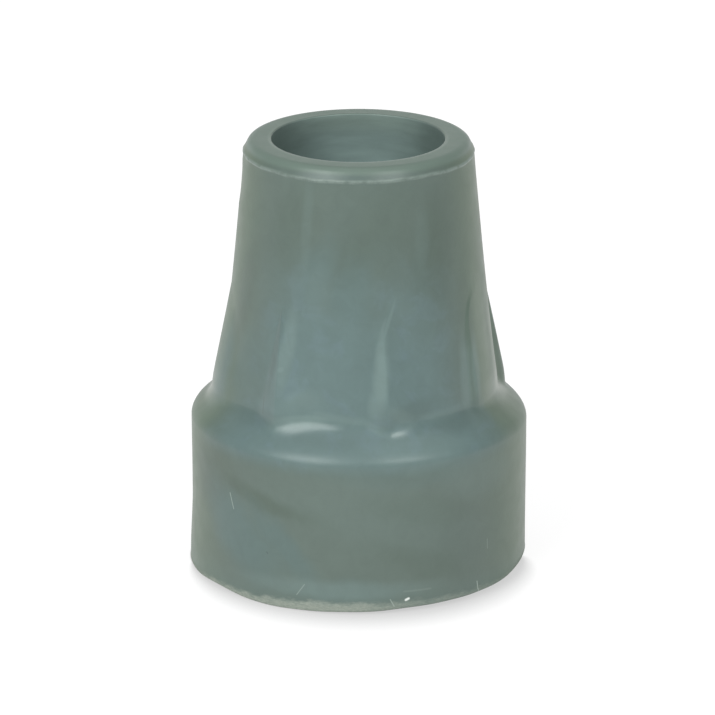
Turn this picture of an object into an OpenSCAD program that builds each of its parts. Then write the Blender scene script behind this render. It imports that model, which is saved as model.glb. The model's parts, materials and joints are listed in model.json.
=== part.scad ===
// Ribbed rubber tip for the foot of a walking cane: one moulding, open at the top
// for the cane's tube, standing on its flat sole. Millimetres, +Z up, and the origin
// is the centre of the sole.

/* [Overall] */
// Height from the sole to the rim
height = 48.7; // [42:0.1:60]

/* [Socket] */
// Diameter of the socket that grips the tube
bore_d = 19; // [12:0.5:20]
// Depth of the socket from the rim
bore_depth = 34; // [20:0.5:36]
// Width of the small chamfer that leads the tube in
lead_in = 0.3; // [0.1:0.05:0.6]

/* [Rim] */
// Diameter at the mould line just under the rim
rim_d = 25.3; // [24:0.1:28]
// Height of the rim above the mould line
rim_h = 1.5; // [1:0.1:2.5]
// How far the rim draws in above the mould line
rim_draft = 0.05; // [0.05:0.05:0.4]
// Radius that rounds the rim's outer edge
rim_round = 1.4; // [0.5:0.1:1.6]

/* [Neck] */
// Diameter that the neck's wall reaches where it meets the shoulder
neck_foot_d = 30.9; // [29:0.1:32]
// How far the middle of the neck's wall bows inward
neck_bow = 0.15; // [0:0.05:0.4]

/* [Ribs] */
// Number of ribs around the foot of the neck
rib_count = 8; // [4:1:12]
// Turn of the first rib about the axis, from the front towards +X
rib_turn = 9; // [-20:1:20]
// Height of the ribs' tips above the sole
rib_top_h = 32; // [26:0.1:38]
// How far a rib's crest stands out from the neck at the shoulder
rib_out = 1.6; // [1:0.1:2]
// Width of a rib at the shoulder
rib_foot_w = 2.8; // [1.6:0.1:3.6]
// Width of a rib at its tip
rib_tip_w = 0.6; // [0.4:0.1:1.2]

/* [Drum] */
// Diameter of the sole
sole_d = 37.8; // [37.2:0.1:42]
// Diameter of the drum just under the shoulder
drum_d = 37.2; // [36.8:0.1:40]
// Height at which the drum's wall and the shoulder would meet
shoulder_h = 17.5; // [14:0.1:20]
// Rise of the sloping shoulder from the drum to the neck
shoulder_rise = 2.8; // [1:0.1:3.2]
// Radius that rounds the drum's upper edge
shoulder_round = 1.7; // [0.8:0.1:2]
// Radius of the fillet between the shoulder and the neck
neck_fillet = 1.5; // [0.6:0.1:1.8]
// Radius that rounds the edge of the sole
sole_round = 0.3; // [0.1:0.05:0.6]

/* [Tread] */
// Number of round grooves in the sole
groove_count = 3; // [1:1:4]
// Width of each groove
groove_w = 1.5; // [1:0.1:2]
// Depth of each groove
groove_depth = 1.2; // [0.5:0.1:2]
// Outer diameter of the smallest groove
groove_inner_d = 10; // [8:0.5:14]
// Spacing from one groove to the next, measured along the radius
groove_pitch = 4; // [2.5:0.1:4.5]

/* [Hidden] */
$fn = 96;
// Steps in each rounded edge, and in the neck's bowed wall
arc_steps = 8;
neck_steps = 8;
// How far a cutting tool runs past the face that it cuts
past = 1;
// How far a rib runs on below its foot, into the shoulder
rib_bury = 1.5;

rim_z = height - rim_h;
shoulder_top_z = shoulder_h + shoulder_rise;
neck_foot_r = neck_foot_d / 2;
// The rim's rounding ends short of the mould line
rim_edge_round = min(rim_round, 0.95 * rim_h);
socket_floor_z = height - bore_depth;

// Radius of the neck's wall at height z, bowed in between its two ends
function neck_r(z) =
    let (t = (z - shoulder_top_z) / (rim_z - shoulder_top_z))
    neck_foot_r + (rim_d / 2 - neck_foot_r) * t - 4 * neck_bow * t * (1 - t);

function unit(v) = v / norm(v);

// Points of an arc of radius r that rounds corner p of an outline, between its neighbours a and b
function rounded(a, p, b, r) =
    let (
        u = unit(a - p),
        v = unit(b - p),
        half = acos(u * v) / 2,
        middle = p + unit(u + v) * r / sin(half),
        start = p + u * r / tan(half) - middle,
        turn = 180 - 2 * half,
        side = sign(u.x * v.y - u.y * v.x)
    )
    [for (i = [0:arc_steps])
        let (angle = -side * turn * i / arc_steps)
        middle + [
            start.x * cos(angle) - start.y * sin(angle),
            start.x * sin(angle) + start.y * cos(angle)
        ]
    ];

// The corners of the outline, from the sole up, as [radius, height]
sole_edge = [sole_d / 2, 0];
drum_edge = [drum_d / 2, shoulder_h];
neck_foot = [neck_foot_r, shoulder_top_z];
rim_edge = [rim_d / 2 - rim_draft, height];
mould_line = [rim_d / 2, rim_z];

// The neck's wall above its fillet, up to the mould line
neck_wall = [
    for (i = [1:neck_steps])
        let (z = shoulder_top_z + (rim_z - shoulder_top_z) * i / neck_steps)
        [neck_r(z), z]
];

outline = concat(
    [[0, 0]],
    rounded([0, 0], sole_edge, drum_edge, sole_round),
    rounded(sole_edge, drum_edge, neck_foot, shoulder_round),
    rounded(drum_edge, neck_foot, neck_wall[0], neck_fillet),
    neck_wall,
    rounded(mould_line, rim_edge, [0, height], rim_edge_round),
    [[0, height]]
);

// The moulding without its ribs and cuts
module solid_body() {
    rotate_extrude()
        polygon(outline);
}

// One rib: a slender cone laid against the neck, so that its outer side, the crest,
// runs straight from the shoulder to the tip
module rib() {
    foot = [neck_foot_r + rib_out, shoulder_h];
    tip = [neck_r(rib_top_h), rib_top_h];
    run = norm(tip - foot);
    lean = atan2(foot.x - tip.x, tip.y - foot.y);
    taper = (rib_foot_w - rib_tip_w) / 2 / run;
    foot_r = rib_foot_w / 2 + taper * rib_bury;
    tip_r = rib_tip_w / 2;
    translate([foot.x, 0, foot.y])
        rotate([0, -lean, 0])
            translate([-foot_r, 0, -rib_bury])
                rotate([0, atan(taper), 0])
                    cylinder(h = run + rib_bury, r1 = foot_r, r2 = tip_r);
}

module ribs() {
    for (i = [0:rib_count - 1])
        rotate([0, 0, rib_turn - 90 + 360 * i / rib_count])
            rib();
}

// The socket for the tube, with its lead-in
module socket() {
    translate([0, 0, socket_floor_z])
        cylinder(h = bore_depth + past, d = bore_d);
    translate([0, 0, height - lead_in])
        cylinder(h = lead_in + past, r1 = bore_d / 2, r2 = bore_d / 2 + lead_in + past);
}

// The round grooves of the tread
module tread_grooves() {
    for (i = [0:groove_count - 1]) {
        outer_r = groove_inner_d / 2 + i * groove_pitch;
        translate([0, 0, -past])
            difference() {
                cylinder(h = groove_depth + past, r = outer_r);
                translate([0, 0, -past])
                    cylinder(h = groove_depth + 3 * past, r = outer_r - groove_w);
            }
    }
}

module cane_tip() {
    color([0.45, 0.51, 0.5])
        difference() {
            union() {
                solid_body();
                ribs();
            }
            socket();
            tread_grooves();
        }
}

cane_tip();
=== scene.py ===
"""A ribbed grey rubber tip for the foot of a walking cane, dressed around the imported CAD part."""

import json
import math
from typing import NamedTuple

import bpy
import numpy as np
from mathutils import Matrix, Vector


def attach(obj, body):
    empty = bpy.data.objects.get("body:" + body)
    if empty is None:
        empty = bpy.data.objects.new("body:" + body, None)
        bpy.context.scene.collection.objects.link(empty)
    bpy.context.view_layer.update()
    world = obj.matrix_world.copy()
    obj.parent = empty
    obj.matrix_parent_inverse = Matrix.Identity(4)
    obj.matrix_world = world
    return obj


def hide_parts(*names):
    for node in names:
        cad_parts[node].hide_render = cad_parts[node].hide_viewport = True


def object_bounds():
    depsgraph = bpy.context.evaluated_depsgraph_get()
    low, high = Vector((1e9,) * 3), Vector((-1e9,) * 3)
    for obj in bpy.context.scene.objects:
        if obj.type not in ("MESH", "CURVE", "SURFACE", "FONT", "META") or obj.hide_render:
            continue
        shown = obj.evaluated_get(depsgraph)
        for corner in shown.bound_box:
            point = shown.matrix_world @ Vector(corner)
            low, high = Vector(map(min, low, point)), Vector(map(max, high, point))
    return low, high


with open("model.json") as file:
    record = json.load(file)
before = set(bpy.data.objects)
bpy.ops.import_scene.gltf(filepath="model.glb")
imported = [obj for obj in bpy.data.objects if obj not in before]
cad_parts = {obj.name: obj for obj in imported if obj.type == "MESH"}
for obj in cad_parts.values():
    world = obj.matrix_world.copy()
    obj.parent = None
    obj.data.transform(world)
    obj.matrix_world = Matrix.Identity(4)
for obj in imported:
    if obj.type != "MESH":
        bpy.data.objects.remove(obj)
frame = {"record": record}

NODE = "cane_tip"
MM = 0.001

cad_low, cad_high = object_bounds()

# ---------------------------------------------------------------------------
# Sizes, in millimetres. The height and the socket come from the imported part.
# ---------------------------------------------------------------------------
SOCKET = next(m for m in frame["record"]["mounts"] if m["name"] == "socket")
HEIGHT = cad_high.z / MM
SOCKET_R = SOCKET["dims"]["r_mm"]
SOCKET_FLOOR_Z = SOCKET["pos_m"][2] / MM - SOCKET["dims"]["length_mm"] / 2

DRUM_R = 18.62
SHOULDER_Z = 17.65
SHOULDER_TOP_Z = 20.35
NECK_FOOT_R = 15.45
NECK_BOW = 0.15
RIM_R = 12.65
RIM_Z = HEIGHT - 1.5

RIB_COUNT = 8
RIB_TURN = 9.0
RIB_OUT = 1.6

GROOVE_OUTER_R = (5.0, 9.0, 13.0)
GROOVE_W = 1.5
GROOVE_DEPTH = 1.2

# ---------------------------------------------------------------------------
# The mesh is rings of vertices, each given by a radius and a height for every
# bearing. Bearings run from the front (-Y) towards +X, and lie closer on the ribs.
# ---------------------------------------------------------------------------
AROUND = 384
RIB_CROWDING = 0.55


def bearings():
    even = np.arange(AROUND) * (2 * math.pi / AROUND)
    phase = RIB_COUNT * (even - math.radians(RIB_TURN))
    return even - RIB_CROWDING / RIB_COUNT * np.sin(phase)


BEARING = bearings()


def turn_from(bearing_deg):
    """Signed angle from a bearing in degrees to each of the mesh's, in radians."""
    return (BEARING - math.radians(bearing_deg) + math.pi) % (2 * math.pi) - math.pi


def ring(radius, z):
    """A ring of the mesh; a plain number holds for every bearing."""
    return np.zeros(AROUND) + radius, np.zeros(AROUND) + z


def hump(bearing_deg, half_width_deg):
    """1 at a bearing, falling smoothly to 0 at half_width_deg on either side."""
    share = np.clip(np.abs(turn_from(bearing_deg)) / math.radians(half_width_deg), 0, 1)
    return (1 + np.cos(math.pi * share)) / 2


def humps(rows):
    """The sum of humps, each given by its height, bearing and half width."""
    return sum(height * hump(bearing, half_width) for height, bearing, half_width in rows)


def waves(rows):
    """The sum of waves round the axis, each given by its size, number and start."""
    return sum(size * np.sin(number * BEARING + start) for size, number, start in rows)


def ease(low, high, value):
    """0 below low, 1 above high, and smooth in between."""
    share = np.clip((value - low) / (high - low), 0, 1)
    return share * share * (3 - 2 * share)


def smooth_max(a, b, k):
    """The larger of two values, with the corner where they cross rounded over k."""
    share = np.clip(0.5 + 0.5 * (a - b) / k, 0, 1)
    return b + (a - b) * share + k * share * (1 - share)


def smooth_min(a, b, k):
    return -smooth_max(-a, -b, k)


# The small unevenness of a rubber moulding: the waves' size and number, how far they turn
# for each millimetre up, in radians, and their start
UNEVEN_WAVES = (
    (0.020, 3, -0.17, 2.1),
    (0.012, 5, 0.23, 4.0),
    (0.008, 9, 0.42, 1.1),
)


def unevenness(z):
    return waves((size, number, rise * z + start) for size, number, rise, start in UNEVEN_WAVES)


# How far the outside stands towards +X of the socket's axis
SIDEWAYS = 0.065


# --- ribs -------------------------------------------------------------------
class Rib(NamedTuple):
    """A rib like a saw's tooth, with a steep flank on the side of lower bearings and a
    gentle one on the other. Degrees and millimetres."""

    bearing: float       # of the crest's foot
    lean: float          # how far the crest leans round on its way up
    hook: float          # how far its tip hooks round
    top_z: float         # height of the tip
    extra: float         # how much the foot stands out beyond RIB_OUT
    steep_w: float       # width of the steep flank at the foot
    steep_power: float   # power by which that width narrows upward
    gentle_w: float      # the same two for the gentle flank
    gentle_power: float
    rounded: float       # how far the whole rib is rounded over, from 0 to 1
    nose_z: float        # height below which the crest stands out no further


# From the front rib round towards +X
RIBS = (
    Rib(12.6, -2.8, 8.5, 34.2, 0.00, 3.4, 1.2, 5.6, 0.7, 0.00, 22.4),
    Rib(58.0, -4.0, 18.0, 34.5, -0.75, 1.6, 1.0, 15.0, 0.8, 0.20, 21.0),
    Rib(101.0, 1.0, 0.0, 33.0, 0.28, 2.4, 1.0, 6.0, 1.5, 0.65, 20.4),
    Rib(143.0, 2.0, 0.0, 33.0, 0.00, 2.6, 1.2, 5.0, 1.6, 0.10, 21.0),
    Rib(188.0, -1.0, 2.0, 33.5, 0.00, 2.4, 1.1, 5.2, 1.4, 0.10, 21.5),
    Rib(233.0, 1.0, 0.0, 33.0, 0.00, 2.6, 1.1, 5.0, 1.5, 0.10, 20.8),
    Rib(272.0, 0.5, 0.0, 32.5, -0.10, 7.0, 0.8, 13.0, 0.6, 1.00, 20.4),
    Rib(326.6, -2.6, 0.0, 33.5, 0.00, 4.2, 1.2, 6.4, 1.7, 0.00, 20.8),
)
# How softly a rib's crest, its nose and the feet of its flanks are rounded
CREST_SOFT = 0.06
NOSE_SOFT = 0.35
STEEP_FOOT_SOFT = 0.20
GENTLE_FOOT_SOFT = 0.35
# The power that keeps a hook in the top of the rib, and a flank's least width
HOOK_POWER = 10
FLANK_LEAST_W = 0.05


def neck_r(z):
    share = (z - SHOULDER_TOP_Z) / (RIM_Z - SHOULDER_TOP_Z)
    return NECK_FOOT_R + (RIM_R - NECK_FOOT_R) * share - 4 * NECK_BOW * share * (1 - share)


def rib_crest_r(z, top_z):
    foot = NECK_FOOT_R + RIB_OUT
    return foot + (neck_r(top_z) - foot) * (z - SHOULDER_Z) / (top_z - SHOULDER_Z)


def ramp(across, width, foot_soft):
    """1 up to 0 across, falling straight to 0 over the width, with its top and foot rounded."""
    fall = smooth_min(1 - across / width, 1.0, CREST_SOFT)
    return smooth_max(fall, 0.0, foot_soft)


def rib_out(rib, z):
    """How far one rib stands out from the neck's wall at each bearing."""
    left = 1 - np.clip((z - SHOULDER_Z) / (rib.top_z - SHOULDER_Z), 0, 1)
    centre = rib.bearing + rib.lean * (1 - left) + rib.hook * (1 - left) ** HOOK_POWER
    nose = rib_crest_r(rib.nose_z, rib.top_z) + rib.extra
    crest = smooth_min(rib_crest_r(z, rib.top_z) + rib.extra * left, nose, NOSE_SOFT)
    across = turn_from(centre) * crest
    steep_w = rib.steep_w * left ** rib.steep_power + FLANK_LEAST_W
    gentle_w = rib.gentle_w * left ** rib.gentle_power + FLANK_LEAST_W
    steep = ramp(-across, steep_w, STEEP_FOOT_SOFT)
    gentle = ramp(across, gentle_w, GENTLE_FOOT_SOFT)
    share = np.clip(np.maximum(-across / steep_w, across / gentle_w), 0, 1)
    round_over = (1 + np.cos(math.pi * share)) / 2
    flank = np.minimum(steep, gentle) * (1 - rib.rounded) + round_over * rib.rounded
    return np.maximum(crest - neck_r(z), 0) * flank


def ribs_out(z):
    """How far the ribs, taken together, stand out from the neck's wall."""
    return np.maximum.reduce([np.zeros(AROUND)] + [rib_out(rib, z) for rib in RIBS])


# --- the outside wall ---------------------------------------------------------
# The drum is a little fuller on the right, and its foot is flared on the left
FULLER = 0.10 * hump(90, 100)
FLARE = 0.29 * hump(-90, 75)
FLARE_HEIGHTS = (0.3, 8)
# The shoulder lies a little lower on the right
SHOULDER_DROP = 0.33 * hump(95, 45)
# A shallow dent under the rim on the left, and the heights between which it deepens and ends
DENT = 0.09 * hump(-90, 70)
DENT_LOW = (41, 43)
DENT_HIGH = (45, 46.6)
# The unevenness dies away over this height next to the sole and the rim
STEADY = 3.0
# How softly the neck runs into the shoulder at each bearing
FILLET_HUMPS = (
    (0.80, -29, 18),
    (0.35, -12, 14),
    (0.75, 18, 14),
    (0.30, 85, 35),
    (0.50, -85, 35),
)
FILLET = 0.50 + humps(FILLET_HUMPS)
# How softly the drum's wall turns into the shoulder, most of all at the front
SHOULDER_ROUND = 0.75 + 0.35 * hump(0, 80)


def wall_r(z):
    """Radius of the outside at height z, for every bearing."""
    drum = DRUM_R + FULLER + FLARE * (1 - ease(*FLARE_HEIGHTS, z))
    slope = DRUM_R + (z - SHOULDER_Z) * (NECK_FOOT_R - DRUM_R) / (SHOULDER_TOP_Z - SHOULDER_Z)
    dent = DENT * ease(*DENT_LOW, z) * (1 - ease(*DENT_HIGH, z))
    upper = smooth_max(neck_r(z) + ribs_out(z) - dent, slope - SHOULDER_DROP, FILLET)
    uneven = unevenness(z) * ease(0, STEADY, z) * (1 - ease(RIM_Z - STEADY, RIM_Z, z))
    return smooth_min(drum, upper, SHOULDER_ROUND) + uneven


# --- the lower edge: trimmed by hand, higher on the right -----------------------
# How high the edge is lifted at each bearing
LIFT_HUMPS = (
    (0.72, 60, 90),
    (0.52, 88, 30),
    (0.21, 26, 36),
    (0.10, -20, 75),
    (0.22, 12, 28),
    (-0.07, -31, 12),
    (0.07, 33, 10),
    (0.28, -56, 18),
    (-0.30, 10, 20),
    (-0.35, 30, 20),
    (-0.19, 50, 20),
)
LIFT = humps(LIFT_HUMPS)
# The lift dies away up to this height
LIFT_REACH = 4.0
# How tall the pale trimmed band above the edge is: taller at the front, and rippled there
BAND_BASE = 0.12
BAND_HUMPS = ((0.42, 0, 105), (0.45, -14, 46))
BAND_RIPPLES = ((0.10, 23, 1.0), (0.07, 41, 0.0), (0.05, 67, 2.0))
BAND_LIMITS = (0.05, 1.4)
BAND = np.clip(BAND_BASE + humps(BAND_HUMPS) + waves(BAND_RIPPLES) * hump(0, 100), *BAND_LIMITS)
# How far the band stands proud of the wall, and how softly it ends
BAND_PROUD = 0.05
BAND_SOFT = 0.12

EDGE_ROUND = 0.25
EDGE_STEPS = 4
# Rings of the outside wall, as stretches of height, each with its number of steps
WALL_STRETCHES = (
    (EDGE_ROUND, 1.6, 14),
    (1.6, 15.4, 24),
    (15.4, 21.0, 50),
    (21.0, 33.0, 44),
    (33.0, RIM_Z - 0.3, 22),
)


def outside_rings():
    rings = []
    for low, high, steps in WALL_STRETCHES:
        for z in np.linspace(low, high, steps, endpoint=False):
            proud = BAND_PROUD * ease(-BAND_SOFT, BAND_SOFT, BAND - z)
            lifted = z + LIFT * (1 - ease(0, LIFT_REACH, z))
            rings.append((wall_r(z) + proud, lifted))
    return rings


# --- the rim ------------------------------------------------------------------
# From the mould line the rim slopes in as a bevel, then bends over to its flat face
RIM_STEPS = 12
BEVEL_SHARES = (0.15, 0.4, 0.7)
BEVEL_INSET = 0.02
BEVEL_TOP_R = 12.23
BEVEL_TOP_Z = HEIGHT - 0.50
RIM_FACE_R = 11.25
# The mould line runs a little unevenly round the foot of the rim
LINE_WAVES = ((0.05, 4, -0.6), (0.03, 9, 2.0), (0.02, 21, 0.0))
MOULD_LINE_Z = RIM_Z + 0.1 + waves(LINE_WAVES)
# The fine ridge of flash along the mould line: radius beyond the wall, height above the line
FLASH = (
    (0.0, -0.22),
    (0.01, -0.13),
    (0.04, -0.06),
    (0.07, 0.0),
    (0.068, 0.05),
    (0.04, 0.10),
    (0.0, 0.15),
)
# The flash is thick and thin by turns
FLASH_BASE = 0.75
FLASH_WAVES = ((0.35, 11, 1.0), (0.25, 29, 0.3))
FLASH_LIMITS = (0.15, 1.3)


def rim_rings():
    """From the neck over the mould line's flash, up the bevel and over to the flat face."""
    thick = np.clip(FLASH_BASE + waves(FLASH_WAVES), *FLASH_LIMITS)
    rings = [ring(neck_r(RIM_Z) + out * thick, MOULD_LINE_Z + up) for out, up in FLASH]
    start_r = neck_r(RIM_Z) - BEVEL_INSET
    start_z = MOULD_LINE_Z + FLASH[-1][1]
    rise = BEVEL_TOP_Z - start_z
    for share in BEVEL_SHARES:
        rings.append(ring(start_r + (BEVEL_TOP_R - start_r) * share, start_z + rise * share))
    # The bend is a curve whose corner lies where the bevel, run on, meets the face
    corner_r = BEVEL_TOP_R - (HEIGHT - BEVEL_TOP_Z) * (start_r - BEVEL_TOP_R) / rise
    for i in range(RIM_STEPS + 1):
        t = i / RIM_STEPS
        bend_r = (1 - t) ** 2 * BEVEL_TOP_R + 2 * t * (1 - t) * corner_r + t * t * RIM_FACE_R
        bend_z = (1 - t) ** 2 * BEVEL_TOP_Z + (1 - (1 - t) ** 2) * HEIGHT
        rings.append(ring(bend_r, bend_z))
    return rings


# --- the socket -----------------------------------------------------------------
FACE_MIDDLE_R = 10.7
MOUTH_ROUND = 0.15
SOCKET_FLOOR_ROUND = 0.8
SOCKET_ROUND_STEPS = 4
SOCKET_WALL_STEPS = 14


def face_and_socket_rings():
    """From the rim's flat face over the mouth, down the socket and in over its floor."""
    rings = [ring(r, HEIGHT) for r in (FACE_MIDDLE_R, SOCKET_R + MOUTH_ROUND + 0.05)]
    angles = [math.pi / 2 * i / SOCKET_ROUND_STEPS for i in range(SOCKET_ROUND_STEPS + 1)]
    for angle in angles:
        r = SOCKET_R + MOUTH_ROUND * (1 - math.sin(angle))
        rings.append(ring(r, HEIGHT - MOUTH_ROUND * (1 - math.cos(angle))))
    wall_top_z = HEIGHT - 0.8
    wall_foot_z = SOCKET_FLOOR_Z + SOCKET_FLOOR_ROUND
    for z in np.linspace(wall_top_z, wall_foot_z, SOCKET_WALL_STEPS):
        rings.append(ring(SOCKET_R, z))
    for angle in angles[1:]:
        r = SOCKET_R - SOCKET_FLOOR_ROUND * (1 - math.cos(angle))
        rings.append(ring(r, SOCKET_FLOOR_Z + SOCKET_FLOOR_ROUND * (1 - math.sin(angle))))
    rings += [ring(r, SOCKET_FLOOR_Z) for r in (6.0, 3.0, 1.0)]
    return rings


# --- the sole -------------------------------------------------------------------
# One side of a groove, from the sole up: distance into the groove from its wall, and height
GROOVE_SIDE = ((-0.12, 0.0), (0.0, 0.1), (0.05, GROOVE_DEPTH - 0.1), (0.2, GROOVE_DEPTH))
# The sole rises to the lifted edge from just outside the last groove
RISE_FROM_R = GROOVE_OUTER_R[-1] + 0.6
RISE_POWER = 1.5


def sole_rings():
    """From near the middle out to the wall: the tread's grooves, then the rounded edge."""
    rings = [ring(1.0, 0)]
    for outer in GROOVE_OUTER_R:
        inner = outer - GROOVE_W
        rings += [ring(inner + into, z) for into, z in GROOVE_SIDE]
        rings += [ring(outer - into, z) for into, z in reversed(GROOVE_SIDE)]
    edge = wall_r(0) + BAND_PROUD
    for share in (0, 0.35, 0.7, 1):
        r = RISE_FROM_R + (edge - EDGE_ROUND - RISE_FROM_R) * share
        rings.append((r, LIFT * share ** RISE_POWER))
    for i in range(1, EDGE_STEPS):
        angle = math.pi / 2 * i / EDGE_STEPS
        r = edge - EDGE_ROUND * (1 - math.sin(angle))
        rings.append((r, LIFT + EDGE_ROUND * (1 - math.cos(angle))))
    return rings


# --- the whole moulding -----------------------------------------------------------
# The value of an attribute wherever its mark lies far off
FAR = -10.0


def tip_faces(count):
    """Quads between count rings, and fans of triangles that close both ends."""
    faces = []
    for i in range(count - 1):
        low, high = i * AROUND, (i + 1) * AROUND
        for j in range(AROUND):
            k = (j + 1) % AROUND
            faces.append((low + j, low + k, high + k, high + j))
    bottom = count * AROUND
    top = bottom + 1
    last = (count - 1) * AROUND
    for j in range(AROUND):
        k = (j + 1) % AROUND
        faces.append((bottom, k, j))
        faces.append((top, last + j, last + k))
    return faces


def add_attribute(mesh, name, values):
    """A value for every vertex of the rings, and FAR for the two middle ones."""
    attribute = mesh.attributes.new(name, "FLOAT", "POINT")
    attribute.data.foreach_set("value", np.append(values.ravel(), [FAR, FAR]))


def tip_mesh(name):
    sole, outside = sole_rings(), outside_rings()
    socket = face_and_socket_rings()
    rings = sole + outside + rim_rings() + socket
    count = len(rings)
    radii = np.array([r for r, _ in rings])
    heights = np.array([z for _, z in rings])
    xs = radii * np.sin(BEARING)
    ys = -radii * np.cos(BEARING)
    # Only the socket stays on the axis
    xs[:count - len(socket)] += SIDEWAYS
    grid = np.stack([xs, ys, heights], axis=-1).reshape(-1, 3)
    middles = np.array([[SIDEWAYS, 0, 0], [0, 0, SOCKET_FLOOR_Z]])
    points = np.concatenate([grid, middles]) * MM
    mesh = bpy.data.meshes.new(name)
    mesh.from_pydata(points.tolist(), [], tip_faces(count))
    mesh.validate()
    mesh.shade_smooth()

    # Height above the mould line, on the outside
    above_line = heights - MOULD_LINE_Z
    above_line[radii < RIM_FACE_R + 0.25] = FAR
    add_attribute(mesh, "mould_line", above_line)

    # Depth below the top of the trimmed band, from the rounded edge up
    below_band = np.full((count, AROUND), FAR)
    wall = slice(len(sole) - EDGE_STEPS, len(sole) + len(outside))
    below_band[wall] = BAND + LIFT - heights[wall]
    add_attribute(mesh, "trim", below_band)
    return mesh


# ---------------------------------------------------------------------------
# Node trees
# ---------------------------------------------------------------------------
class Nodes:
    """A short way to write the node tree of a material or a world."""

    def __init__(self, tree):
        self.tree = tree
        tree.nodes.clear()

    def add(self, kind, settings=None, **inputs):
        """A new node. An input goes by its name, with _ for a space, or by its number, as i0."""
        node = self.tree.nodes.new(kind)
        for key, value in (settings or {}).items():
            setattr(node, key, value)
        for key, value in inputs.items():
            numbered = key[0] == "i" and key[1:].isdigit()
            self.put(node.inputs[int(key[1:]) if numbered else key.replace("_", " ")], value)
        return node

    def put(self, socket, value):
        if isinstance(value, bpy.types.NodeSocket):
            self.tree.links.new(value, socket)
        else:
            socket.default_value = value

    def math(self, operation, a, b=0.0, c=0.0, clamp=False):
        node = self.add("ShaderNodeMath", {"operation": operation, "use_clamp": clamp}, i0=a, i1=b, i2=c)
        return node.outputs[0]

    def product(self, first, *others):
        for other in others:
            first = self.math("MULTIPLY", first, other)
        return first

    def length(self, a, b):
        return self.math("SQRT", self.math("MULTIPLY_ADD", a, a, self.math("MULTIPLY", b, b)))

    def between(self, value, start, end):
        """0 at start, 1 at end, and smooth in between; the end may be the lower one."""
        node = self.add(
            "ShaderNodeMapRange",
            {"interpolation_type": "SMOOTHSTEP"},
            Value=value,
            From_Min=start,
            From_Max=end,
        )
        return node.outputs[0]

    def noise(self, vector, scale, detail, roughness, distortion=0.0):
        node = self.add(
            "ShaderNodeTexNoise",
            Vector=vector,
            Scale=scale,
            Detail=detail,
            Roughness=roughness,
            Distortion=distortion,
        )
        return node.outputs[0]

    def scaled(self, vector, factor):
        node = self.add("ShaderNodeVectorMath", {"operation": "SCALE"}, Vector=vector, Scale=factor)
        return node.outputs[0]

    def stretched(self, vector, factors):
        node = self.add("ShaderNodeVectorMath", {"operation": "MULTIPLY"}, i0=vector, i1=factors)
        return node.outputs[0]

    def attribute(self, name):
        return self.add("ShaderNodeAttribute", {"attribute_name": name}).outputs["Fac"]

    def mix(self, share, a, b):
        """Colour a, with this share of colour b."""
        node = self.add("ShaderNodeMix", {"data_type": "RGBA"})
        self.put(node.inputs[0], share)
        self.put(node.inputs[6], a)
        self.put(node.inputs[7], b)
        return node.outputs[2]


# ---------------------------------------------------------------------------
# The rubber
# ---------------------------------------------------------------------------
GREEN_GREY = (0.102, 0.142, 0.122, 1)
OLIVE_GREY = (0.080, 0.115, 0.092, 1)
BLUE_GREY = (0.095, 0.152, 0.146, 1)
EDGE_GREEN = (0.092, 0.138, 0.092, 1)
PALE_BLOOM = (0.114, 0.175, 0.171, 1)
MOTTLE_BLUE = (0.130, 0.195, 0.210, 1)
# Pale rubbed rubber, also the colour of painted highlights and painted light
WEAR_AND_LIGHT_PALE = (0.158, 0.228, 0.216, 1)
# Painted light on the sides
PAINTED_LIGHT_GREEN = (0.150, 0.200, 0.148, 1)
# Painted shade
PAINTED_SHADE_GREY = (0.078, 0.118, 0.108, 1)
# Painted light on the rim's flat face
FACE_PAINTED_LIGHT = (0.127, 0.180, 0.150, 1)
# Painted highlight on the bevel
PAINTED_BEVEL_GLINT = (0.150, 0.205, 0.198, 1)
# Painted highlight on the mouth's lip
PAINTED_LIP_GLINT = (0.195, 0.250, 0.220, 1)
# Painted highlight along the mould line
PAINTED_LINE_GLINT = (0.176, 0.228, 0.202, 1)
SOCKET_GREY = (0.120, 0.165, 0.150, 1)
# Painted light inside the socket
SOCKET_PAINTED_LIGHT = (0.190, 0.262, 0.248, 1)
SOCKET_MOUTH_PAINTED_LIGHT = (0.205, 0.276, 0.245, 1)
# The cut's colours are paler than the cut itself: painted light against the shade by the floor
PALE_CUT = (0.340, 0.375, 0.320, 1)
DULL_CUT = (0.255, 0.292, 0.250, 1)
SCRATCH = (0.36, 0.42, 0.38, 1)
WHITE_FLECK = (0.80, 0.84, 0.80, 1)
DARK_SPECK = (0.045, 0.060, 0.050, 1)
SHEEN_TINT = (0.94, 1.0, 0.97, 1)

# Soft clouds in the rubber's colour, of wear, and of painted light and shade: bearing and height of the
# middle, tilt from level, half length, half width and strength. Degrees and millimetres.
BLUE_CLOUDS = (
    (-45, 7.6, -38, 6.0, 3.2, 0.8),
    (-27, 7.4, -50, 5.4, 1.5, 0.7),
    (-36, 7.4, -50, 4.6, 2.2, 0.6),
    (-8, 2.6, 0, 5.0, 1.4, 0.35),
    (-16, 29.0, -10, 5.0, 3.6, 0.8),
    (-20, 36.0, 70, 4.5, 2.2, 0.5),
    (-4, 34.0, 75, 4.5, 2.4, 0.5),
    (-56, 25.0, 80, 4.0, 2.4, 0.5),
    (-76, 23.5, 85, 5.0, 2.4, 0.7),
    (-6, 34.5, 0, 2.2, 2.4, 0.5),
    (18, 15.6, -2, 7.0, 1.2, 0.3),
    (120, 10.0, 20, 7.0, 3.0, 0.8),
    (175, 26.0, -60, 6.0, 3.0, 0.8),
    (-140, 12.0, -25, 8.0, 3.0, 0.8),
)
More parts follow.
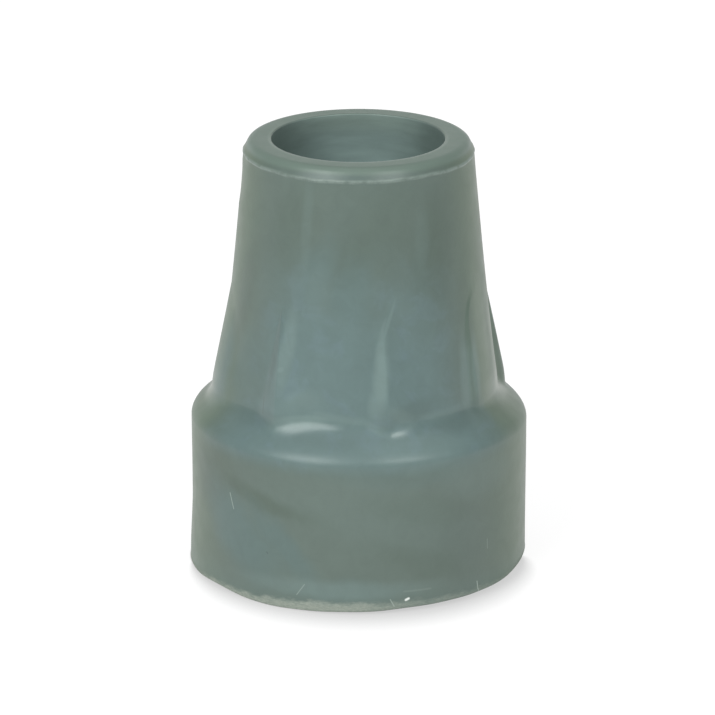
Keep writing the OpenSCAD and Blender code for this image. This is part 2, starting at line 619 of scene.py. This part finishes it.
# Olive patches in the rubber; the one on the steep flank of the left front rib, at -37.5 degrees, is painted
# shade
OLIVE_AND_SHADE_CLOUDS = (
    (-40, 12.6, -16, 7.5, 1.0, 0.9),
    (22, 11.5, -12, 5.5, 1.6, 0.5),
    (24, 5.5, -22, 5.0, 1.6, 0.45),
    (-59, 13.2, -8, 3.6, 4.0, 0.8),
    (-37.5, 23.0, 84, 3.6, 0.8, 0.6),
    (36, 37.0, 80, 7.0, 3.4, 0.9),
    (12, 40.0, 60, 5.5, 4.0, 0.35),
    (-32, 41.0, 80, 5.0, 3.6, 0.4),
    (-2, 38.5, 50, 4.5, 3.0, 0.5),
    (-2, 33.5, -25, 3.4, 1.6, 0.5),
    (-62, 33.0, 75, 5.5, 2.0, 0.7),
    (150, 32.0, 70, 7.0, 3.0, 0.8),
    (-165, 7.0, 15, 7.0, 2.0, 0.7),
)
# Pale clouds: some are rubbed places, most are painted highlights, along the glossy fold at the neck's foot,
# round the shoulder and on the ribs' flanks
WEAR_AND_HIGHLIGHT_CLOUDS = (
    (9.4, 26.0, 86, 4.0, 0.78, 0.75),
    (7.0, 22.9, 85, 1.4, 0.8, 0.5),
    (13.2, 31.9, 67, 2.2, 0.22, 0.45),
    (-31.8, 28.2, 82, 4.4, 0.9, 0.55),
    (-33.2, 26.3, 20, 0.5, 0.35, 0.9),
    (-25.0, 22.6, 20, 3.0, 1.2, 0.40),
    (51.0, 24.2, 88, 4.2, 0.9, 0.6),
    (44.0, 14.5, -5, 5.0, 2.4, 0.22),
    (-23.0, 20.95, 6, 3.6, 0.6, 0.9),
    (-31.0, 20.3, 12, 1.8, 0.6, 0.6),
    (-9.5, 21.4, -7, 4.2, 0.55, 0.45),
    (7.0, 20.4, -23, 1.8, 0.5, 0.45),
    (18.0, 20.35, 15, 2.0, 0.5, 0.4),
    (37.0, 21.0, 0, 4.0, 0.6, 0.35),
    (-25.0, 42.0, 88, 4.5, 0.8, 0.2),
    (-18.5, 35.0, 80, 2.6, 1.6, 0.18),
    (31.0, 40.5, 88, 3.0, 1.1, 0.18),
    (-8.0, 2.8, 0, 8.5, 1.0, 0.45),
    (57.5, 24.8, 87, 3.4, 0.8, 0.6),
    (17.5, 21.6, -30, 1.8, 0.7, 0.5),
    (0.0, 17.2, 0, 8.5, 1.2, 0.13),
    (21.0, 17.8, 0, 5.5, 1.7, 0.30),
    (5.0, 12.0, -15, 9.0, 3.6, 0.14),
    (-12.0, 11.0, -22, 7.0, 0.9, 0.10),
    (12.0, 8.6, -18, 2.5, 0.8, 0.12),
)
# Painted light: paler green beside the right-hand rib and on the sides of the neck and shoulder, where the
# bright room lights them from the side
PAINTED_LIGHT_CLOUDS = (
    (66.0, 27.0, 88, 8.0, 2.0, 0.6),
    (84.0, 24.0, 88, 6.0, 1.8, 0.7),
    (-80.0, 27.0, 88, 6.0, 1.6, 0.35),
    (-82.0, 18.8, 0, 4.0, 1.5, 0.55),
    (84.0, 18.8, 0, 4.0, 1.6, 0.55),
)
# Painted shade: darker by the ribs' crests and noses, on the ledge at the neck's foot, on the front of the
# rim's bevel, and in a few places on the neck and drum
PAINTED_SHADE_CLOUDS = (
    (11.4, 21.5, 80, 1.5, 0.95, 0.2),
    (-12.0, 47.9, 0, 5.5, 0.8, 0.6),
    (10.0, 47.9, 0, 4.0, 0.7, 0.3),
    (3.0, 28.3, 85, 3.2, 1.4, 0.12),
    (-8.0, 42.5, 70, 3.5, 2.2, 0.12),
    (38.0, 7.0, 0, 5.0, 3.0, 0.12),
    (23.0, 22.0, 8, 3.4, 1.0, 0.35),
    (-44.0, 20.4, 5, 3.4, 0.9, 0.4),
    (44.0, 20.2, 0, 3.6, 0.9, 0.4),
    (-14.0, 19.2, 0, 4.0, 0.6, 0.15),
    (-37.3, 28.0, 82, 4.0, 0.55, 0.4),
)
# A cloud's outline is frayed by the ragged value times this many millimetres, along and up
FRAY_ALONG = 1.6
FRAY_UP = 2.4
# The clouds of wear, of painted highlights, of painted light and of painted shade follow the moulding's
# places, and are frayed by this share of that
LESS_FRAY = 0.35
# The radii at which a turn round the axis is measured, for clouds and for fine marks
CLOUD_R = 17.0
MARK_R = 18.5
# Clouds and marks fade in between these multiples of their half width or width
FADE_FROM = 1.6
FADE_TO = 0.4

# Fine scratches, fibres and specks: bearing and height of each end, width and strength
SCRATCHES = (
    (-49.0, 11.8, -47.2, 10.1, 0.055, 0.65),
    (-18.3, 3.2, -21.1, 1.9, 0.045, 0.45),
    (10.8, 1.7, 12.1, 0.9, 0.05, 0.6),
    (44.2, 1.9, 44.9, 0.5, 0.055, 0.9),
    (49.2, 6.4, 49.4, 5.3, 0.05, 0.3),
    (15.6, 2.5, 25.0, 2.45, 0.10, 0.12),
)
FLECKS = ((16.2, 1.50, 17.1, 1.62, 0.13, 0.95),)
SPECKS = ((-32.4, 6.2, -32.1, 6.1, 0.09, 0.4), (-42.0, 22.6, -41.6, 20.9, 0.08, 0.35))


class Surface:
    """Where a point of the tip lies, as sockets, in millimetres and radians."""

    def __init__(self, n):
        self.n = n
        self.place = n.scaled(n.add("ShaderNodeTexCoord").outputs["Object"], 1 / MM)
        x, y, self.height = n.add("ShaderNodeSeparateXYZ", Vector=self.place).outputs
        self.below_top = n.math("SUBTRACT", HEIGHT, self.height)
        self.bearing = n.math("ARCTAN2", x, n.math("MULTIPLY", y, -1.0))
        self.radius = n.length(x, y)
        # An uneven value, from -0.5 to 0.5, by which outlines are frayed
        self.ragged = n.math("ADD", n.noise(self.place, 0.22, 3, 0.55), -0.5)

    def away_from(self, bearing_deg):
        """How far round a point lies from a bearing near the front, on either side."""
        return self.n.math("ABSOLUTE", self.n.math("ADD", self.bearing, -math.radians(bearing_deg)))


def turned(n, along, up, angle, along_size=1.0, up_size=1.0):
    """A point's place along and across a line at an angle, each in units of its own size."""
    c, s = math.cos(angle), math.sin(angle)
    u = n.math("MULTIPLY_ADD", along, c / along_size, n.math("MULTIPLY", up, s / along_size))
    v = n.math("MULTIPLY_ADD", up, c / up_size, n.math("MULTIPLY", along, -s / up_size))
    return u, v


def cloud_cover(n, at, clouds, fray=1.0):
    """How far each point lies under the given clouds, 0 to 1."""
    ragged = n.product(at.ragged, fray)
    cover = 0.0
    for middle, level, tilt, half_length, half_width, strength in clouds:
        round_by = n.math("SUBTRACT", at.bearing, math.radians(middle))
        round_by = n.math("WRAP", round_by, math.pi, -math.pi)
        along = n.math("MULTIPLY_ADD", round_by, CLOUD_R, n.product(ragged, FRAY_ALONG))
        up = n.math("ADD", at.height, n.math("MULTIPLY_ADD", ragged, FRAY_UP, -level))
        u, v = turned(n, along, up, math.radians(tilt), half_length, half_width)
        here = n.product(n.between(n.length(u, v), FADE_FROM, FADE_TO), strength)
        cover = n.math("MAXIMUM", cover, here)
    return cover


def mark_cover(n, at, marks):
    """How far each point lies under the given short straight marks, 0 to 1."""
    cover = 0.0
    for bearing_a, height_a, bearing_b, height_b, width, strength in marks:
        run = math.radians(bearing_b - bearing_a) * MARK_R
        rise = height_b - height_a
        length = math.hypot(run, rise)
        along = n.product(n.math("SUBTRACT", at.bearing, math.radians(bearing_a)), MARK_R)
        up = n.math("SUBTRACT", at.height, height_a)
        u, v = turned(n, along, up, math.atan2(rise, run))
        beyond = n.math("SUBTRACT", n.math("ABSOLUTE", n.math("SUBTRACT", u, length / 2)), length / 2)
        away = n.length(n.math("MAXIMUM", beyond, 0.0), v)
        here = n.product(n.between(away, width * FADE_FROM, width * FADE_TO), strength)
        cover = n.math("MAXIMUM", cover, here)
    return cover


# Each function below lays one kind of colour over what is there so far, where n.between
# says: heights and radii are in millimetres, and angles round the axis in radians.
def body_colour(n, at):
    """The rubber's colour: greener round the sides, with olive and bluish clouds, and painted shade on one
    rib's flank.
    """
    from_front = at.away_from(-2)
    green_side = n.product(n.between(from_front, 0.7, 1.35), n.between(from_front, 2.2, 1.55))
    colour = n.mix(green_side, GREEN_GREY, EDGE_GREEN)
    colour = n.mix(cloud_cover(n, at, OLIVE_AND_SHADE_CLOUDS), colour, OLIVE_GREY)

    # The bluish clouds are faint on the two sides of the drum
    drum_side = n.product(
        n.between(from_front, 0.85, 1.25),
        n.between(from_front, 2.1, 1.7),
        n.between(at.height, 19.0, 17.5),
    )
    blue = cloud_cover(n, at, BLUE_CLOUDS)
    blue = n.product(blue, n.math("MULTIPLY_ADD", drum_side, -0.8, 1.0))
    return n.mix(blue, colour, BLUE_GREY)


def with_bloom(n, at, colour):
    """A pale bluish bloom on the shoulder and the foot of the neck, faintly mottled."""
    low = n.between(at.height, 15.4, 17.8)
    high = n.between(n.math("MULTIPLY_ADD", at.ragged, 9.0, at.height), 43.0, 26.0)
    # It reaches less far round the neck than round the shoulder, and hardly at the back
    narrower = n.product(n.between(at.height, 19.5, 23.5), 0.25)
    in_front = n.between(n.math("ADD", at.away_from(-1), narrower), 1.25, 0.75)
    in_front = n.math("MULTIPLY_ADD", in_front, 0.88, 0.12)
    bloom = n.product(low, high, in_front)
    colour = n.mix(bloom, colour, PALE_BLOOM)
    mottled = n.between(n.noise(at.place, 0.30, 4, 0.55, 0.6), 0.50, 0.64)
    return n.mix(n.product(mottled, bloom, 0.45), colour, MOTTLE_BLUE)


def with_wear(n, at, colour):
    """Rubbed places and painted highlights, painted light and painted shade, a faint marbling, a paler front
    of the drum, and the drum's foot painted lighter against the shade by the floor.
    """
    for clouds, tint in ((WEAR_AND_HIGHLIGHT_CLOUDS, WEAR_AND_LIGHT_PALE), (PAINTED_LIGHT_CLOUDS, PAINTED_LIGHT_GREEN), (PAINTED_SHADE_CLOUDS, PAINTED_SHADE_GREY)):
        colour = n.mix(cloud_cover(n, at, clouds, LESS_FRAY), colour, tint)
    marble = n.noise(at.place, 0.55, 4, 0.6, 0.8)
    colour = n.scaled(colour, n.math("MULTIPLY_ADD", marble, 0.22, 0.89))
    drum_front = n.product(n.between(at.height, 17.0, 15.0), n.between(at.away_from(-2), 1.15, 0.80))
    colour = n.mix(n.product(drum_front, 0.045), colour, DULL_CUT)
    # The foot of the drum is painted lighter: painted light against the shade next to the floor
    return n.mix(n.product(n.between(at.height, 4.2, 0.8), 0.16), colour, WEAR_AND_LIGHT_PALE)


def with_socket(n, at, colour):
    """The socket's wall: streaked, and painted lighter at the back, most of all by the mouth, as painted
    light where the lamps reach in.
    """
    from_back = n.math("WRAP", n.math("ADD", at.bearing, -math.pi), math.pi, -math.pi)
    from_back = n.math("ABSOLUTE", from_back)
    # Painted light: the back of the socket, which the lamps reach, is painted paler than its sides
    painted_lit = n.between(n.math("MULTIPLY_ADD", at.ragged, 0.5, from_back), 1.20, 0.25)
    wall = n.mix(painted_lit, SOCKET_GREY, SOCKET_PAINTED_LIGHT)
    by_mouth = n.product(n.between(at.below_top, 2.9, 0.7), painted_lit, 0.8)
    wall = n.mix(by_mouth, wall, SOCKET_MOUTH_PAINTED_LIGHT)
    # The streaks run round the wall, and it is paler further down
    streaks = n.noise(n.stretched(at.place, (0.16, 0.16, 0.9)), 1.0, 3, 0.6)
    shade = n.math("MULTIPLY_ADD", streaks, 0.5, 0.76)
    shade = n.math("MULTIPLY_ADD", n.between(at.below_top, 1.2, 6.7), 0.22, shade)
    inside = n.between(at.radius, SOCKET_R + 0.10, SOCKET_R + 0.01)
    return n.mix(inside, colour, n.scaled(wall, shade))


def with_rim(n, at, colour):
    """The rim: its flat face painted lighter, and painted highlights on the lip of the mouth, the bevel and
    the mould line.
    """
    from_front = at.away_from(0)
    # The flat face is painted paler: painted light from above
    face = n.between(at.below_top, 0.95, 0.45)
    outside_mouth = n.between(at.radius, SOCKET_R + 0.1, SOCKET_R + 0.2)
    colour = n.mix(n.product(face, outside_mouth), colour, FACE_PAINTED_LIGHT)
    # A painted highlight on the front of the mouth's lip
    lip = n.product(
        n.between(at.radius, SOCKET_R + 0.55, SOCKET_R + 0.25),
        n.between(at.below_top, 0.4, 0.2),
        n.between(from_front, 2.1, 1.1),
    )
    colour = n.mix(n.product(lip, 0.9), colour, PAINTED_LIP_GLINT)

    # A faint, patchy painted highlight on the front of the bevel
    patchy = n.math("MULTIPLY_ADD", at.ragged, 0.9, from_front)
    bevel = n.product(
        n.between(at.radius, 11.75, 12.0),
        n.between(at.below_top, 1.35, 1.2),
        n.between(at.below_top, 0.4, 0.7),
        n.between(patchy, 0.62, 0.42),
    )
    colour = n.mix(n.product(bevel, 0.08), colour, PAINTED_BEVEL_GLINT)

    # A painted highlight along the mould line, here stronger and there weaker
    from_line = n.math("ABSOLUTE", n.math("ADD", n.attribute("mould_line"), -0.03))
    glint_patches = n.between(n.noise(at.place, 1.1, 3, 0.6), 0.30, 0.60)
    glint_patches = n.math("MULTIPLY_ADD", glint_patches, 0.7, 0.3)
    return n.mix(n.product(n.between(from_line, 0.30, 0.07), glint_patches), colour, PAINTED_LINE_GLINT)


def with_trimmed_edge(n, at, colour):
    """The trimmed lower edge's pale, granular cut, painted paler still against the shade by the floor. Also
    where the cut is, and its grain.
    """
    flattened = n.stretched(at.place, (1.0, 1.0, 3.0))
    torn = n.math("MULTIPLY_ADD", n.noise(flattened, 1.1, 4, 0.65), 1.1, -0.55)
    cut = n.between(n.math("ADD", n.attribute("trim"), torn), -0.50, 0.28)
    grain = n.noise(flattened, 2.6, 4, 0.65)
    cut_colour = n.mix(n.between(grain, 0.35, 0.7), DULL_CUT, PALE_CUT)
    # It is duller from just right of the front onward
    strength = n.math("MULTIPLY_ADD", n.between(at.bearing, -0.1, 0.4), -0.40, 0.85)
    return n.mix(n.product(cut, strength), colour, cut_colour), cut, grain


def rubber_material():
    material = bpy.data.materials.new("grey_rubber")
    material.use_nodes = True
    n = Nodes(material.node_tree)
    at = Surface(n)
    colour = body_colour(n, at)
    colour = with_bloom(n, at, colour)
    colour = with_wear(n, at, colour)
    colour = with_socket(n, at, colour)
    colour = with_rim(n, at, colour)
    colour, cut, grain = with_trimmed_edge(n, at, colour)
    for marks, tint in ((SPECKS, DARK_SPECK), (SCRATCHES, SCRATCH), (FLECKS, WHITE_FLECK)):
        colour = n.mix(mark_cover(n, at, marks), colour, tint)

    # Fine relief, coarser on the cut
    fine = n.noise(at.place, 3.0, 3, 0.55)
    relief = n.math("MULTIPLY_ADD", n.product(grain, cut), 0.05, n.product(fine, 0.008))
    bump = n.add("ShaderNodeBump", Height=relief, Strength=1.0, Distance=MM)

    # The neck's foot is glossy, the rest is duller, and the cut is dull
    glossy = n.product(n.between(at.height, 18.6, 19.6), n.between(at.height, 24.0, 21.5))
    dull = n.math("MULTIPLY_ADD", n.noise(at.place, 0.5, 3, 0.5), 0.14, 0.32)
    roughness = n.math("MAXIMUM", n.math("MULTIPLY_ADD", glossy, -0.12, dull), 0.285)
    shader = n.add(
        "ShaderNodeBsdfPrincipled",
        Base_Color=colour,
        Roughness=n.math("MULTIPLY_ADD", cut, 0.3, roughness),
        Normal=bump.outputs[0],
    )
    shader.inputs["Specular IOR Level"].default_value = 0.55
    shader.inputs["Specular Tint"].default_value = SHEEN_TINT
    n.add("ShaderNodeOutputMaterial", Surface=shader.outputs[0])
    return material


def add_tip():
    tip = bpy.data.objects.new("tip_moulding", tip_mesh("tip_moulding"))
    bpy.context.scene.collection.objects.link(tip)
    tip.data.materials.append(rubber_material())
    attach(tip, "root")
    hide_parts(NODE)


# ---------------------------------------------------------------------------
# The stage: a pale floor, soft lights and the camera
# ---------------------------------------------------------------------------
FLOOR_SIZE = 3.0
# How white the paper is for the light that it throws on the object. Seen by the
# camera, it is part plain white and part lit by the lamps.
PAPER_BOUNCE = 0.9
PAPER_SEEN = 0.25
PAPER_GLOW = 0.83
# How far the contact shadow reaches to the right and to the front, the least that it
# reaches anywhere, in metres, how deep it is and how dark it gets
SHADOW_REACH = (0.0008, -0.0065, 0.0)
SHADOW_LEAST = 0.0002
SHADOW_DEPTH = 0.74
SHADOW_DARKEST = 0.68
SHADOW_SAMPLES = 16


def contact_shadow(n):
    """A soft shade round the object's foot, longest towards SHADOW_REACH."""
    place = n.add("ShaderNodeNewGeometry").outputs["Position"]
    outward = n.add("ShaderNodeVectorMath", {"operation": "NORMALIZE"}, Vector=place).outputs[0]
    towards = n.add("ShaderNodeVectorMath", {"operation": "DOT_PRODUCT"}, i0=outward, i1=SHADOW_REACH)
    reach = n.math("MAXIMUM", towards.outputs["Value"], SHADOW_LEAST)
    nearby = n.add("ShaderNodeAmbientOcclusion", {"samples": SHADOW_SAMPLES}, Distance=reach)
    shade = n.math("MULTIPLY_ADD", nearby.outputs["AO"], SHADOW_DEPTH, 1.0 - SHADOW_DEPTH)
    return n.math("MAXIMUM", shade, SHADOW_DARKEST)


def floor_material():
    """White paper, which lights the object from below. Where it is seen, it is partly plain
    white, and lies under the contact shadow."""
    material = bpy.data.materials.new("floor_white")
    material.use_nodes = True
    n = Nodes(material.node_tree)
    shade = contact_shadow(n)
    path = n.add("ShaderNodeLightPath").outputs
    seen = n.math("ADD", path["Is Camera Ray"], path["Is Glossy Ray"], clamp=True)
    seen = n.math("ADD", seen, path["Is Transmission Ray"], clamp=True)
    seen_paper = n.math("MULTIPLY_ADD", shade, PAPER_SEEN, -PAPER_BOUNCE)
    paper = n.math("MULTIPLY_ADD", seen, seen_paper, PAPER_BOUNCE)
    colour = n.add("ShaderNodeCombineColor", i0=paper, i1=paper, i2=paper)
    matte = n.add("ShaderNodeBsdfDiffuse", Color=colour.outputs[0])
    glow = n.add("ShaderNodeEmission", Strength=n.product(seen, shade, PAPER_GLOW))
    both = n.add("ShaderNodeAddShader", i0=matte.outputs[0], i1=glow.outputs[0])
    n.add("ShaderNodeOutputMaterial", Surface=both.outputs[0])
    return material


def add_floor():
    half = FLOOR_SIZE / 2
    corners = [(-half, -half, 0), (half, -half, 0), (half, half, 0), (-half, half, 0)]
    mesh = bpy.data.meshes.new("floor")
    mesh.from_pydata(corners, [], [(0, 1, 2, 3)])
    floor = bpy.data.objects.new("floor", mesh)
    floor.data.materials.append(floor_material())
    bpy.context.scene.collection.objects.link(floor)


def direction(bearing_deg, elevation_deg):
    b, e = math.radians(bearing_deg), math.radians(elevation_deg)
    return Vector((math.sin(b) * math.cos(e), -math.cos(b) * math.cos(e), math.sin(e)))


def aim(thing, target):
    thing.rotation_euler = (Vector(target) - thing.location).to_track_quat("-Z", "Y").to_euler()


def add_light(name, bearing, elevation, distance, size, radiance):
    """A square softbox, in metres and degrees. Its power follows from its radiance."""
    data = bpy.data.lights.new(name, "AREA")
    data.shape = "SQUARE"
    data.size = size
    data.energy = radiance * math.pi * size * size
    light = bpy.data.objects.new(name, data)
    centre = Vector((0, 0, HEIGHT * MM / 2))
    light.location = centre + distance * direction(bearing, elevation)
    bpy.context.scene.collection.objects.link(light)
    aim(light, centre)


# The studio's own light: a bright backdrop low down behind the object, a pale ceiling,
# and a dimmer room elsewhere. The camera sees plain white.
ROOM_LIGHT = 0.42
BACKDROP_LIGHT = 0.60
CEILING_LIGHT = 0.60


def add_world():
    world = bpy.data.worlds.new("studio")
    world.use_nodes = True
    n = Nodes(world.node_tree)
    towards = n.add("ShaderNodeTexCoord").outputs["Generated"]
    _, back, up = n.add("ShaderNodeSeparateXYZ", Vector=towards).outputs
    backdrop = n.product(n.between(up, 0.40, 0.12), n.between(back, 0.10, 0.60))
    ceiling = n.between(up, 0.75, 0.95)
    light = n.math("MULTIPLY_ADD", backdrop, BACKDROP_LIGHT, ROOM_LIGHT)
    light = n.math("MULTIPLY_ADD", ceiling, CEILING_LIGHT, light)
    seen = n.add("ShaderNodeLightPath").outputs["Is Camera Ray"]
    strength = n.math("MAXIMUM", light, seen)
    sky = n.add("ShaderNodeBackground", Color=(1, 1, 1, 1), Strength=strength)
    n.add("ShaderNodeOutputWorld", Surface=sky.outputs[0])
    bpy.context.scene.world = world


# The camera's focal length in image widths, its distance in metres, how far above level
# it looks from, and what it looks at
FOCAL_WIDTHS = 80 / 13
CAMERA_DISTANCE = 0.489
CAMERA_ELEVATION = 18.9
TARGET = (-0.00007, 0, 0.02326)
SENSOR = 36.0


def add_camera():
    data = bpy.data.cameras.new("camera")
    data.sensor_width = SENSOR
    data.lens = SENSOR * FOCAL_WIDTHS
    data.clip_start = 0.01
    data.clip_end = 20
    camera = bpy.data.objects.new("camera", data)
    camera.location = Vector(TARGET) + CAMERA_DISTANCE * direction(0, CAMERA_ELEVATION)
    bpy.context.scene.collection.objects.link(camera)
    aim(camera, TARGET)
    bpy.context.scene.camera = camera


bpy.context.scene.view_settings.view_transform = "Standard"
add_camera()
add_floor()
add_world()
add_light("left_box", bearing=-38, elevation=34, distance=0.7, size=0.36, radiance=6.0)
add_light("right_box", bearing=34, elevation=38, distance=0.7, size=0.22, radiance=8.2)
add_tip()
